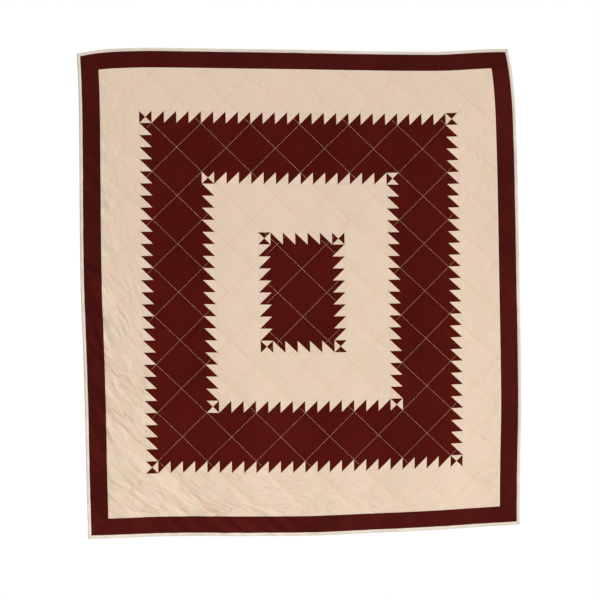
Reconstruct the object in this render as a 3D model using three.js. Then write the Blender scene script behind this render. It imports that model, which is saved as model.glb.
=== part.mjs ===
// A pieced and quilted bed cover in two colours, hung upright from a cloth sleeve on its back.
// Units are millimetres. +X runs to the right as seen from the front, the front faces -Y, +Z is up.
// The origin is the middle of the line inside the sleeve where the hanging rod bears.

import * as THREE from 'three';

// Pieced pattern. A tooth is one square of a sawtooth ring, cut in two by its diagonal.
const TOOTH_WIDTH = 50.8;
const TOOTH_HEIGHT = 49.6;
const CENTRE_TEETH = { across: 5, down: 8 };
const INNER_CREAM_TEETH = { side: 3.5, end: 4 };
const MIDDLE_MAROON_TEETH = { side: 4, end: 4 };

// Plain outer borders: width at the two sides, and at the top and bottom ends.
const OUTER_CREAM = { side: 161, end: 178 };
const OUTER_MAROON = { side: 72.5, end: 67.5 };

// Layers, front to back: pieced top, batting, backing.
const CLOTH_THICKNESS = 0.8;
const BATTING_THICKNESS = 4;
const BACKING_THICKNESS = 0.8;
const LAYER_GAP = 0.3;

// Seams: neighbouring patches lie this far apart, and each comb of teeth is joined by a narrow web.
const SEAM_GAP = 0.3;
const TOOTH_WEB = 1;

// Folded binding that wraps the raw edge.
const BINDING_WIDTH = 13.5;
const BINDING_THICKNESS = 1.2;

// Hanging sleeve: a flat cloth tube sewn across the back below the top edge.
const SLEEVE_HEIGHT = 100;
const SLEEVE_TUNNEL_DEPTH = 16;
const SLEEVE_CLOTH = 1;
const SLEEVE_DROP = 30;
const SLEEVE_INSET = 90;
const SLEEVE_ARC_STEPS = 8;

function cloth(color, roughness) {
  return new THREE.MeshStandardMaterial({ color, roughness, metalness: 0 });
}

const COLOURS = {
  maroon: 0x4a1711,
  cream: 0xe2cdb4,
  ecru: 0xd9cdb9,
  batting: 0xf1ece0,
  backing: 0xdccdb4,
};

// Half sizes of the pattern's rectangles, from the centre panel outwards.
function grow(rectangle, side, end) {
  return { x: rectangle.x + side, z: rectangle.z + end };
}

function ringAround(inside, across, down) {
  return { inside, outside: grow(inside, TOOTH_WIDTH, TOOTH_HEIGHT), across, down };
}

function teethBorder(rectangle, teeth) {
  return grow(rectangle, teeth.side * TOOTH_WIDTH, teeth.end * TOOTH_HEIGHT);
}

const centre = {
  x: CENTRE_TEETH.across * TOOTH_WIDTH / 2,
  z: CENTRE_TEETH.down * TOOTH_HEIGHT / 2,
};
const innerRing = ringAround(centre, CENTRE_TEETH.across, CENTRE_TEETH.down);
const middleRing = ringAround(
  teethBorder(innerRing.outside, INNER_CREAM_TEETH),
  innerRing.across + 2 + 2 * INNER_CREAM_TEETH.side,
  innerRing.down + 2 + 2 * INNER_CREAM_TEETH.end,
);
const outerRing = ringAround(
  teethBorder(middleRing.outside, MIDDLE_MAROON_TEETH),
  middleRing.across + 2 + 2 * MIDDLE_MAROON_TEETH.side,
  middleRing.down + 2 + 2 * MIDDLE_MAROON_TEETH.end,
);
const outerCream = grow(outerRing.outside, OUTER_CREAM.side, OUTER_CREAM.end);
const visibleTop = grow(outerCream, OUTER_MAROON.side, OUTER_MAROON.end);
const overall = grow(visibleTop, BINDING_WIDTH, BINDING_WIDTH);

// The layers stop a gap short of the bottom of the binding's channel.
const edgeRoom = BINDING_THICKNESS + LAYER_GAP;
const layerEdge = grow(overall, -edgeRoom, -edgeRoom);

// Depths along Y, measured from the middle of the batting.
const battingFront = -BATTING_THICKNESS / 2;
const battingBack = BATTING_THICKNESS / 2;
const topBack = battingFront - LAYER_GAP;
const topFront = topBack - CLOTH_THICKNESS;
const backingFront = battingBack + LAYER_GAP;
const backingBack = backingFront + BACKING_THICKNESS;

const quilt = new THREE.Group();

function addMesh(name, geometry, material, parent = quilt) {
  const mesh = new THREE.Mesh(geometry, material);
  mesh.name = name;
  parent.add(mesh);
  return mesh;
}

// A flat plate in the XZ plane between two depths, from an outline of [x, z] points.
function plate(outline, front, back) {
  const shape = new THREE.Shape(outline.map(([x, z]) => new THREE.Vector2(x, z)));
  const geometry = new THREE.ExtrudeGeometry(shape, { depth: back - front, bevelEnabled: false });
  geometry.rotateX(Math.PI / 2);
  geometry.translate(0, back, 0);
  return geometry;
}

function rectangle(left, right, bottom, top) {
  return [[left, bottom], [right, bottom], [right, top], [left, top]];
}

// A rectangular patch, drawn in by half a seam gap on every side that meets a neighbour.
function patch(name, left, right, bottom, top, color) {
  const draw = SEAM_GAP / 2;
  const outline = rectangle(left + draw, right - draw, bottom + draw, top - draw);
  addMesh(name, plate(outline, topFront, topBack), cloth(COLOURS[color], 0.88));
}

// The comb of teeth on a ring's inner colour, along s from 0 to the side's length, with its base
// at t = 0. Each tooth is the half square under the diagonal that rises with s.
function combOutline(pitch, depth, count) {
  const draw = SEAM_GAP / 2;
  const length = pitch * count;
  const diagonalShift = draw * Math.hypot(pitch, depth) / depth;
  const tip = depth - TOOTH_WEB - SEAM_GAP;
  const outline = [[draw, draw], [length - draw, draw]];
  for (let tooth = count - 1; tooth >= 0; tooth -= 1) {
    const start = tooth * pitch;
    const end = start + pitch - draw;
    const valley = start + diagonalShift + TOOTH_WEB * pitch / depth;
    const crest = start + diagonalShift + tip * pitch / depth;
    if (tooth < count - 1) outline.push([end, TOOTH_WEB]);
    outline.push([end, tip], [crest, tip], [valley, TOOTH_WEB]);
  }
  outline.push([draw, TOOTH_WEB]);
  return outline;
}

// The outer colour's comb is the inner colour's comb turned half round about the side's middle.
function turnedOutline(outline, length, depth) {
  return outline.map(([s, t]) => [length - s, depth - t]);
}

function mirroredOutline(outline, length) {
  return outline.map(([s, t]) => [length - s, t]).reverse();
}

// The four sides in the order top, left, bottom, right, each a quarter turn on from the last.
// place() turns a point on the side into the quilt's X and Z.
function ringSides(ring) {
  const { x, z } = ring.inside;
  const level = { pitch: TOOTH_WIDTH, depth: TOOTH_HEIGHT, count: ring.across };
  const upright = { pitch: TOOTH_HEIGHT, depth: TOOTH_WIDTH, count: ring.down };
  return [
    { name: 'top', ...level, place: ([s, t]) => [s - x, z + t] },
    { name: 'left', ...upright, place: ([s, t]) => [-x - t, s - z] },
    { name: 'bottom', ...level, place: ([s, t]) => [x - s, -z - t] },
    { name: 'right', ...upright, place: ([s, t]) => [x + t, z - s] },
  ];
}

function addComb(name, side, outline, color) {
  const placed = outline.map(side.place);
  addMesh(name, plate(placed, topFront, topBack), cloth(COLOURS[color], 0.88));
}

// On a mirrored ring the diagonals run the other way.
function addTeeth(ringName, ring, innerColor, outerColor, mirrored) {
  for (const side of ringSides(ring)) {
    const length = side.pitch * side.count;
    let inner = combOutline(side.pitch, side.depth, side.count);
    let outer = turnedOutline(inner, length, side.depth);
    if (mirrored) {
      inner = mirroredOutline(inner, length);
      outer = mirroredOutline(outer, length);
    }
    addComb(`${ringName}_${side.name}_${innerColor}_teeth`, side, inner, innerColor);
    addComb(`${ringName}_${side.name}_${outerColor}_teeth`, side, outer, outerColor);
  }
}

function addCornerBlocks(ringName, ring, color) {
  const { inside, outside } = ring;
  const blocks = [
    ['top_left', -outside.x, -inside.x, inside.z, outside.z],
    ['top_right', inside.x, outside.x, inside.z, outside.z],
    ['bottom_left', -outside.x, -inside.x, -outside.z, -inside.z],
    ['bottom_right', inside.x, outside.x, -outside.z, -inside.z],
  ];
  for (const [corner, left, right, bottom, top] of blocks) {
    patch(`${ringName}_corner_${corner}`, left, right, bottom, top, color);
  }
}

function addRing(ringName, ring, innerColor, outerColor, mirrored) {
  addTeeth(ringName, ring, innerColor, outerColor, mirrored);
  addCornerBlocks(ringName, ring, outerColor);
}

// The side strips go on first, then the top and bottom strips run right across.
function addBorder(name, inner, outer, color) {
  patch(`${name}_left`, -outer.x, -inner.x, -inner.z, inner.z, color);
  patch(`${name}_right`, inner.x, outer.x, -inner.z, inner.z, color);
  patch(`${name}_top`, -outer.x, outer.x, inner.z, outer.z, color);
  patch(`${name}_bottom`, -outer.x, outer.x, -outer.z, -inner.z, color);
}

function addPiecedTop() {
  patch('centre_panel', -centre.x, centre.x, -centre.z, centre.z, 'maroon');
  addRing('inner_ring', innerRing, 'maroon', 'cream', true);
  addBorder('inner_cream_border', innerRing.outside, middleRing.inside, 'cream');
  addRing('middle_ring', middleRing, 'cream', 'maroon', false);
  addBorder('middle_maroon_border', middleRing.outside, outerRing.inside, 'maroon');
  addRing('outer_ring', outerRing, 'maroon', 'cream', false);
  addBorder('outer_cream_border', outerRing.outside, outerCream, 'cream');
  addBorder('outer_maroon_border', outerCream, layerEdge, 'maroon');
}

function addLayers() {
  const outline = rectangle(-layerEdge.x, layerEdge.x, -layerEdge.z, layerEdge.z);
  addMesh('batting', plate(outline, battingFront, battingBack), cloth(COLOURS.batting, 1));
  addMesh('backing', plate(outline, backingFront, backingBack), cloth(COLOURS.backing, 0.9));
}

// The binding's section: a channel open towards the quilt's middle. Its first coordinate is the
// distance in from the outer edge and its second is the depth along Y.
function bindingSection() {
  const front = topFront - LAYER_GAP;
  const back = backingBack + LAYER_GAP;
  const points = [
    [0, front - BINDING_THICKNESS],
    [BINDING_WIDTH, front - BINDING_THICKNESS],
    [BINDING_WIDTH, front],
    [BINDING_THICKNESS, front],
    [BINDING_THICKNESS, back],
    [BINDING_WIDTH, back],
    [BINDING_WIDTH, back + BINDING_THICKNESS],
    [0, back + BINDING_THICKNESS],
  ];
  return new THREE.Shape(points.map(([inward, depth]) => new THREE.Vector2(inward, depth)));
}

// A binding strip along X with its outer edge on Z = 0 and its channel opening towards -Z.
// Both ends are mitred, so each point's end moves in by its distance from the outer edge.
function bindingStrip(length) {
  const geometry = new THREE.ExtrudeGeometry(bindingSection(), { depth: 1, bevelEnabled: false });
  const position = geometry.attributes.position;
  const halfLength = (length - SEAM_GAP) / 2;
  for (let i = 0; i < position.count; i += 1) {
    const inward = position.getX(i);
    const depth = position.getY(i);
    const along = (position.getZ(i) > 0.5 ? 1 : -1) * (halfLength - inward);
    position.setXYZ(i, along, depth, -inward);
  }
  return geometry;
}

function addBinding() {
  const quarter = Math.PI / 2;
  const strips = [
    ['top', 2 * overall.x, 0, overall.z, 0],
    ['left', 2 * overall.z, -overall.x, 0, -quarter],
    ['bottom', 2 * overall.x, 0, -overall.z, 2 * quarter],
    ['right', 2 * overall.z, overall.x, 0, quarter],
  ];
  for (const [side, length, x, z, turn] of strips) {
    const mesh = addMesh(`binding_${side}`, bindingStrip(length), cloth(COLOURS.ecru, 0.9));
    mesh.position.set(x, 0, z);
    mesh.rotation.y = turn;
  }
}

// The sleeve's section, with the depth along Y first and the height along Z second: flat front
// and back, round top and bottom.
function sleeveLoop(path, depth, height) {
  const radius = depth / 2;
  const straight = height / 2 - radius;
  path.absarc(0, straight, radius, 0, Math.PI, false);
  path.absarc(0, -straight, radius, Math.PI, 2 * Math.PI, false);
  path.closePath();
  return path;
}

const sleeveDepth = SLEEVE_TUNNEL_DEPTH + 2 * SLEEVE_CLOTH;
const tunnelHeight = SLEEVE_HEIGHT - 2 * SLEEVE_CLOTH;
const sleeveMiddle = {
  y: backingBack + LAYER_GAP + sleeveDepth / 2,
  z: overall.z - SLEEVE_DROP - SLEEVE_HEIGHT / 2,
};

function addSleeve() {
  const length = 2 * (overall.x - SLEEVE_INSET);
  const section = sleeveLoop(new THREE.Shape(), sleeveDepth, SLEEVE_HEIGHT);
  section.holes.push(sleeveLoop(new THREE.Path(), SLEEVE_TUNNEL_DEPTH, tunnelHeight));
  const geometry = new THREE.ExtrudeGeometry(section, {
    depth: length,
    bevelEnabled: false,
    curveSegments: SLEEVE_ARC_STEPS,
  });
  geometry.translate(0, 0, -length / 2);
  geometry.rotateX(Math.PI / 2);
  geometry.rotateZ(Math.PI / 2);
  geometry.translate(0, sleeveMiddle.y, sleeveMiddle.z);
  addMesh('hanging_sleeve', geometry, cloth(COLOURS.backing, 0.9));
}

addLayers();
addPiecedTop();
addBinding();
addSleeve();

// The rod bears on the tunnel's highest line, which is the origin.
quilt.position.set(0, -sleeveMiddle.y, -(sleeveMiddle.z + tunnelHeight / 2));

const model = new THREE.Group();
model.add(quilt);

export default model;
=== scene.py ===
"""A pieced and quilted cover in maroon and cream cotton, hung upright from a sleeve on its back.

Each patch of the pieced top, the batting, the backing, the binding, the sleeve and the quilting
thread is its own piece. All of them are cut flat, in coordinates x and z measured from the
cover's middle, and hang() then moves them into place, so that neighbours always meet.
"""

import functools
import math
from collections import namedtuple

import bpy
import numpy as np
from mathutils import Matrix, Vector


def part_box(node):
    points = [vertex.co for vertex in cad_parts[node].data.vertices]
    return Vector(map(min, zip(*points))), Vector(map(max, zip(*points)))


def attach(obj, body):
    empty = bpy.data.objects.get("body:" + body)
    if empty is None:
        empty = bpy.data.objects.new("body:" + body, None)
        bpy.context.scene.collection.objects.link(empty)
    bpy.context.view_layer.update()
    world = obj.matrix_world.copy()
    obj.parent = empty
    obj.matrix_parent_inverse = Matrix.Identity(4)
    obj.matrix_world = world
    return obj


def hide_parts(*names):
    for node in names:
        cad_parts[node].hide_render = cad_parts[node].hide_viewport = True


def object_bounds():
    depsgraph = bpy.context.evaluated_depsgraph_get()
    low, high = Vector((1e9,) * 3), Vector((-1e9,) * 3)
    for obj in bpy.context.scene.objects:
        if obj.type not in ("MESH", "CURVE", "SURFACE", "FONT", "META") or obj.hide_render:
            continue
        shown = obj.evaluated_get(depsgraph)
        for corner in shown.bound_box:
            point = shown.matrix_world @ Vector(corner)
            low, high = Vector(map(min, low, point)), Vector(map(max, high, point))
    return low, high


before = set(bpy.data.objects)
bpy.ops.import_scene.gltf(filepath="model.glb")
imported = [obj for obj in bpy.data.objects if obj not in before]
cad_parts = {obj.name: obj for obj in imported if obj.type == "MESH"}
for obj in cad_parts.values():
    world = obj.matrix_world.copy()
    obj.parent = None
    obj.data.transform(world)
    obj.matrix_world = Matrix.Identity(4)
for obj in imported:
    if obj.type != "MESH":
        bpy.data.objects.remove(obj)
CAD_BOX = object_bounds()

MM = 0.001

# ---------------------------------------------------------------- sizes, read from the frame

HALF_SEAM_GAP = 0.15 * MM
SIDES = ("top", "left", "bottom", "right")
CORNERS = ("top_left", "top_right", "bottom_left", "bottom_right")

Rect = namedtuple("Rect", "left right bottom top")
Ring = namedtuple("Ring", "name inside outside inner_color outer_color mirrored")

EDGE_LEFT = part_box("binding_left")[0].x
EDGE_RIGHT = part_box("binding_right")[1].x
EDGE_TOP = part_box("binding_top")[1].z
EDGE_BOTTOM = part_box("binding_bottom")[0].z
HALF_WIDTH = (EDGE_RIGHT - EDGE_LEFT) / 2
HALF_HEIGHT = (EDGE_TOP - EDGE_BOTTOM) / 2
MIDDLE_Y = (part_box("batting")[0].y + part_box("batting")[1].y) / 2
CENTRE = Vector(((EDGE_LEFT + EDGE_RIGHT) / 2, MIDDLE_Y, (EDGE_TOP + EDGE_BOTTOM) / 2))
BINDING_WIDTH = EDGE_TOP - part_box("binding_top")[0].z


def flat_rect(node):
    """The rectangle a patch is cut to, from the cover's middle, out to the middle of its seams."""
    low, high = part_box(node)
    return Rect(
        low.x - CENTRE.x - HALF_SEAM_GAP,
        high.x - CENTRE.x + HALF_SEAM_GAP,
        low.z - CENTRE.z - HALF_SEAM_GAP,
        high.z - CENTRE.z + HALF_SEAM_GAP,
    )


def read_ring(name, inner_color, outer_color, mirrored):
    top_left = flat_rect(f"{name}_corner_top_left")
    bottom_right = flat_rect(f"{name}_corner_bottom_right")
    outside = Rect(top_left.left, bottom_right.right, bottom_right.bottom, top_left.top)
    inside = Rect(top_left.right, bottom_right.left, bottom_right.top, top_left.bottom)
    return Ring(name, inside, outside, inner_color, outer_color, mirrored)


RINGS = (
    read_ring("inner_ring", "maroon", "cream", True),
    read_ring("middle_ring", "cream", "maroon", False),
    read_ring("outer_ring", "maroon", "cream", False),
)
BLOCK = flat_rect("inner_ring_corner_top_left")
TOOTH_WIDTH = BLOCK.right - BLOCK.left
TOOTH_HEIGHT = BLOCK.top - BLOCK.bottom
QUILTED_X = flat_rect("outer_cream_border_top").right
QUILTED_Z = flat_rect("outer_cream_border_top").top
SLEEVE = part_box("hanging_sleeve")

# ---------------------------------------------------------------- noise and curves

NOISE_CELLS = 128


def eased(t):
    return t * t * t * (t * (t * 6 - 15) + 10)


def noise(x, z, seed):
    """Smooth random heights between -1 and 1, one bump to a unit."""
    table = np.random.default_rng(seed).uniform(-1, 1, (NOISE_CELLS, NOISE_CELLS))
    column = np.floor(x).astype(int)
    row = np.floor(z).astype(int)
    s = eased(x - column)
    t = eased(z - row)
    c0, c1 = column % NOISE_CELLS, (column + 1) % NOISE_CELLS
    r0, r1 = row % NOISE_CELLS, (row + 1) % NOISE_CELLS
    low = table[r0, c0] * (1 - s) + table[r0, c1] * s
    high = table[r1, c0] * (1 - s) + table[r1, c1] * s
    return low * (1 - t) + high * t


def smoothstep(start, end, value):
    t = np.clip((value - start) / (end - start), 0, 1)
    return t * t * (3 - 2 * t)


CURVE_STEPS = 400
CURVE_BLUR = 24


def smooth_curve(places, values):
    """A smooth curve through about these values, as a function of a place from -1 to 1."""
    dense = np.linspace(-1, 1, CURVE_STEPS + 1)
    heights = np.interp(dense, places, values)
    kernel = np.hanning(2 * CURVE_BLUR + 3)[1:-1]
    padded = np.pad(heights, CURVE_BLUR, mode="reflect", reflect_type="odd")
    smooth = np.convolve(padded, kernel / kernel.sum(), mode="valid")
    return lambda place: np.interp(place, dense, smooth)


# ---------------------------------------------------------------- how the flat cover hangs

# How far each edge strays from its straight line, in mm, at places from -1 to 1 along it: the
# left and right edges to the right, from bottom to top; the top and bottom edges upwards, from
# left to right. The sides draw in, one top corner droops and the bottom lifts to the right.
SIDE_PLACES = (-1, -0.75, -0.5, -0.25, 0, 0.25, 0.5, 0.75, 0.9, 1)
LEFT_EDGE = smooth_curve(SIDE_PLACES, (33, 25.5, 20.5, 13, 2.5, -1.5, -3, -5, -9, -15))
RIGHT_EDGE = smooth_curve(SIDE_PLACES, (0, 2, 7.5, 4.5, 0, -4.5, -9, -17, -29, -50))
END_PLACES = (-1, -0.9, -0.7, -0.5, -0.25, 0, 0.25, 0.5, 0.7, 0.9, 1)
TOP_EDGE = smooth_curve(END_PLACES, (-14, 5, 11.5, 9.5, 6, 3, -1.5, -5, -5.5, 6, 6))
BOTTOM_EDGE = smooth_curve(END_PLACES, (-12, -9, -1.5, 0, 0, 0.5, 10, 21, 31, 42.5, 48))
MIDDLE_SHIFT = 8


def shares(x, z):
    """A flat point's place from -1 to 1 across and up the cover."""
    return x / HALF_WIDTH, z / HALF_HEIGHT


def drift(x, z):
    """How far a flat point moves sideways and upwards as the cover hangs, in metres."""
    u, v = shares(x, z)
    across = (1 + u) / 2
    up = (1 + v) / 2
    sideways = LEFT_EDGE(v) * (1 - across) + RIGHT_EDGE(v) * across
    sideways = sideways + MIDDLE_SHIFT * np.clip(1 - u * u, 0, 1) * (1 + 0.5 * u)
    upwards = BOTTOM_EDGE(u) * (1 - up) + TOP_EDGE(u) * up
    return sideways * MM, upwards * MM


# The grid of points that holds the cover's relief. It is in step with the teeth, so that the
# diagonal quilting lines pass through its points.
GRID_PER_TOOTH = 12
GRID_DX = TOOTH_WIDTH / GRID_PER_TOOTH
GRID_DZ = TOOTH_HEIGHT / GRID_PER_TOOTH
GRID_NX = int(HALF_WIDTH / GRID_DX) + 3
GRID_NZ = int(HALF_HEIGHT / GRID_DZ) + 3
GRID_X, GRID_Z = np.meshgrid(
    np.arange(-GRID_NX, GRID_NX + 1) * GRID_DX,
    np.arange(-GRID_NZ, GRID_NZ + 1) * GRID_DZ,
)


def cubic_weights(t):
    return (
        ((2 - t) * t - 1) * t / 2,
        ((3 * t - 5) * t * t + 2) / 2,
        ((4 - 3 * t) * t + 1) * t / 2,
        (t - 1) * t * t / 2,
    )


def sample(field, x, z, dx=GRID_DX, dz=GRID_DZ):
    """A field's smooth value between its grid points. The grid's middle is the cover's middle."""
    rows, columns = field.shape
    fx = np.asarray(x) / dx + (columns - 1) / 2
    fz = np.asarray(z) / dz + (rows - 1) / 2
    column = np.clip(np.floor(fx).astype(int), 1, columns - 3)
    row = np.clip(np.floor(fz).astype(int), 1, rows - 3)
    across = cubic_weights(np.clip(fx - column, 0, 1))
    up = cubic_weights(np.clip(fz - row, 0, 1))
    total = 0
    for i in range(4):
        for j in range(4):
            total = total + up[i] * across[j] * field[row + i - 1, column + j - 1]
    return total


def edge_distance(x, z):
    """Distance in from the cover's outer edge."""
    return np.minimum(HALF_WIDTH - np.abs(x), HALF_HEIGHT - np.abs(z))


# ---------------------------------------------------------------- quilting lattice

# The lines run across the teeth's diagonals, four teeth apart.
LATTICE = 4
LINE_NORMAL = math.hypot(1 / TOOTH_WIDTH, 1 / TOOTH_HEIGHT)


def lattice_offset(x, z, slope):
    """Signed distance to the nearest quilting line that falls (slope 1) or rises (-1)."""
    phase = x / TOOTH_WIDTH + slope * z / TOOTH_HEIGHT - LATTICE / 2
    near = (phase + LATTICE / 2) % LATTICE - LATTICE / 2
    return near / LINE_NORMAL


def line_number(x, z, slope):
    return np.round((x / TOOTH_WIDTH + slope * z / TOOTH_HEIGHT - LATTICE / 2) / LATTICE)


def quilted(x, z):
    return (np.abs(x) <= QUILTED_X) & (np.abs(z) <= QUILTED_Z)


def line_distance(x, z):
    """Distance to whatever holds the top down: a quilting line, or the border's own seams."""
    lines = np.minimum(np.abs(lattice_offset(x, z, 1)), np.abs(lattice_offset(x, z, -1)))
    border = np.maximum(np.abs(x) - QUILTED_X, np.abs(z) - QUILTED_Z)
    inside_border = np.minimum(np.clip(border, 0, None), edge_distance(x, z) - BINDING_WIDTH)
    return np.where(border < 0, lines, np.clip(inside_border, 0, None))


# ---------------------------------------------------------------- padding, by cloth simulation

CLOTH_PER_TOOTH = 6
CLOTH_FRAMES = 12
CLOTH_SEED = 7
START_ROUGHNESS = 0.6 * MM
CLOTH_SETTINGS = {
    "quality": 3,
    "mass": 0.15,
    "air_damping": 4,
    "tension_stiffness": 15,
    "compression_stiffness": 15,
    "shear_stiffness": 5,
    "bending_stiffness": 0.5,
    "tension_damping": 5,
    "compression_damping": 5,
    "shear_damping": 5,
    "bending_damping": 0.5,
    "vertex_group_mass": "stitched",
    "pin_stiffness": 1,
    "shrink_min": -0.003,
    "shrink_max": -0.003,
    "use_pressure": True,
    "uniform_pressure_force": 4,
}


def link_new(name, data):
    """A new object for this mesh, light or camera."""
    thing = bpy.data.objects.new(name, data)
    bpy.context.scene.collection.objects.link(thing)
    return thing


def cloth_grid():
    """Numbers of the simulated sheet's columns and rows, counted from its middle."""
    across = int(HALF_WIDTH / TOOTH_WIDTH * CLOTH_PER_TOOTH)
    up = int(HALF_HEIGHT / TOOTH_HEIGHT * CLOTH_PER_TOOTH)
    return np.meshgrid(np.arange(-across, across + 1), np.arange(-up, up + 1))


def stitched_points(columns, rows):
    """Which points of the sheet are sewn down."""
    period = LATTICE * CLOTH_PER_TOOTH
    start = period // 2
    falling = (columns + rows - start) % period == 0
    rising = (columns - rows - start) % period == 0
    width = QUILTED_X / TOOTH_WIDTH * CLOTH_PER_TOOTH
    height = QUILTED_Z / TOOTH_HEIGHT * CLOTH_PER_TOOTH
    border = (np.abs(columns) > width) | (np.abs(rows) > height)
    seam_x = (np.abs(columns) == int(width)) & (np.abs(rows) <= height)
    seam_z = (np.abs(rows) == int(height)) & (np.abs(columns) <= width)
    rim = (np.abs(columns) >= columns.max() - 1) | (np.abs(rows) >= rows.max() - 1)
    return ((falling | rising) & ~border) | seam_x | seam_z | rim


def sheet_faces(columns, rows):
    """Quads of a grid of points, facing the front."""
    row, column = np.meshgrid(np.arange(rows - 1), np.arange(columns - 1), indexing="ij")
    first = row * columns + column
    return np.stack([first, first + 1, first + columns + 1, first + columns], -1).reshape(-1, 4)


def add_cloth(sheet, pinned):
    """Cloth that only its own padding moves, held at these points."""
    group = sheet.vertex_groups.new(name="stitched")
    group.add([int(i) for i in np.flatnonzero(pinned.ravel())], 1.0, "REPLACE")
    modifier = sheet.modifiers.new("cloth", "CLOTH")
    for key, value in CLOTH_SETTINGS.items():
        setattr(modifier.settings, key, value)
    modifier.settings.effector_weights.gravity = 0
    modifier.collision_settings.use_collision = False
    modifier.collision_settings.use_self_collision = False
    modifier.point_cache.frame_end = CLOTH_FRAMES


def simulated_padding():
    """Heights of a sheet sewn down along the quilting lines and pushed out by its padding."""
    columns, rows = cloth_grid()
    x = columns * TOOTH_WIDTH / CLOTH_PER_TOOTH
    z = rows * TOOTH_HEIGHT / CLOTH_PER_TOOTH
    y = -START_ROUGHNESS * np.random.default_rng(CLOTH_SEED).random(x.shape)
    points = np.stack([x, y, z], -1).reshape(-1, 3)
    mesh = bpy.data.meshes.new("padding_sheet")
    mesh.from_pydata(points.tolist(), [], sheet_faces(x.shape[1], x.shape[0]).tolist())
    sheet = link_new("padding_sheet", mesh)
    add_cloth(sheet, stitched_points(columns, rows))
    for step in range(1, CLOTH_FRAMES + 1):
        bpy.context.scene.frame_set(step)
    shaped = sheet.evaluated_get(bpy.context.evaluated_depsgraph_get())
    found = np.empty(len(points) * 3, np.float32)
    shaped.data.vertices.foreach_get("co", found)
    heights = -found.reshape(x.shape + (3,))[..., 1].astype(float)
    bpy.data.objects.remove(sheet)
    bpy.data.meshes.remove(mesh)
    bpy.context.scene.frame_set(1)
    steps = (TOOTH_WIDTH / CLOTH_PER_TOOTH, TOOTH_HEIGHT / CLOTH_PER_TOOTH)
    return sample(np.pad(heights, 2, mode="edge"), GRID_X, GRID_Z, *steps)


# ---------------------------------------------------------------- wrinkles

# Where the top cloth is creased: middle (u, v), reach (u, v), the way its ridges run in degrees,
# their spacing and height in mm. u and v run from -1 to 1 across and up the cover.
Crease = namedtuple("Crease", "u v reach_u reach_v angle spacing height")
CREASES = (
    (-0.80, -0.84, 0.26, 0.17, -40, 15, 2.2),
    (-0.50, -0.87, 0.22, 0.10, -32, 13, 1.5),
    (-0.15, -0.87, 0.24, 0.09, -14, 12, 1.2),
    (0.25, -0.87, 0.22, 0.09, -36, 13, 1.0),
    (0.72, -0.84, 0.18, 0.13, 42, 15, 1.1),
    (-0.84, -0.45, 0.12, 0.26, -50, 13, 2.1),
    (-0.83, -0.05, 0.11, 0.26, -66, 12, 1.6),
    (-0.84, 0.50, 0.10, 0.34, -80, 11, 0.8),
    (0.84, 0.55, 0.10, 0.30, -82, 11, 0.5),
    (0.84, -0.15, 0.10, 0.35, -76, 12, 0.45),
    (-0.45, 0.86, 0.30, 0.08, -10, 12, 0.55),
    (0.45, 0.86, 0.30, 0.08, -16, 12, 0.5),
    (-0.10, -0.62, 0.45, 0.09, -6, 13, 0.9),
    (-0.62, -0.50, 0.14, 0.25, -45, 13, 1.3),
    (0.60, -0.10, 0.12, 0.60, -76, 14, 0.6),
    (-0.60, 0.20, 0.12, 0.45, -66, 14, 0.8),
    (0.00, 0.63, 0.50, 0.08, -12, 14, 0.6),
    (-0.94, -0.15, 0.06, 0.80, -52, 28, 7.8),
    (0.94, -0.30, 0.06, 0.70, 50, 22, 2.7),
    (-0.45, -0.96, 0.60, 0.06, -36, 27, 8.8),
    (0.60, -0.96, 0.45, 0.06, 36, 24, 3.6),
    (0.10, 0.00, 0.45, 0.45, -40, 18, 0.45),
    (-0.78, -0.80, 0.30, 0.25, -42, 34, 3.0),
)
GROOVE_SHARPNESS = 5
MOST_GROOVE = 2.2
BEND_SEED, WAVE_SEED, GROOVE_SEED = 100, 200, 300


def creases(x, z):
    """Creases as two layers of relief in metres: soft folds, and narrow grooves beside them."""
    u, v = shares(x, z)
    folds = np.zeros(np.shape(x))
    grooves = np.zeros(np.shape(x))
    for number, row in enumerate(CREASES):
        crease = Crease(*row)
        turn = math.radians(crease.angle)
        along = (x * math.cos(turn) + z * math.sin(turn)) / (crease.spacing * MM)
        across = (z * math.cos(turn) - x * math.sin(turn)) / (crease.spacing * MM)
        bend = 0.7 * noise(along / 4, across / 3, BEND_SEED + number)
        wave = noise(along / 4.5 + 7, across + bend, WAVE_SEED + number)
        groove = 1 - np.abs(noise(along / 5, across * 0.6 + bend, GROOVE_SEED + number))
        reach_u = (u - crease.u) / crease.reach_u
        reach_v = (v - crease.v) / crease.reach_v
        weight = np.exp(-reach_u ** 2 - reach_v ** 2) * MM
        folds += weight * crease.height * wave
        grooves -= weight * min(crease.height, MOST_GROOVE) * groove ** GROOVE_SHARPNESS
    return folds, grooves


PUCKER_PEAK = 7 * MM
PUCKER_LENGTH = 12 * MM
PUCKER_HEIGHT = 0.34 * MM


def puckers(x, z, seed):
    """Short ripples across the quilting lines, where the thread gathers the cloth."""
    total = 0
    for slope in (1, -1):
        offset = lattice_offset(x, z, slope)
        along = (x - slope * z) / math.sqrt(2) / PUCKER_LENGTH
        line = line_number(x, z, slope) * 3.7 + np.sign(offset) * 0.9 + 50
        reach = np.abs(offset) / PUCKER_PEAK
        ripple = noise(along, line, seed + slope)
        total = total + PUCKER_HEIGHT * ripple * reach * np.exp(1 - reach)
    return np.where(quilted(x, z), total, 0)


# The fine folds swing round this place, right of the middle and above it.
SWAG_U = 0.2
SWAG_V = 0.3
FOLD_SPACING = 17 * MM
FOLD_TURNS = 10


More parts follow.
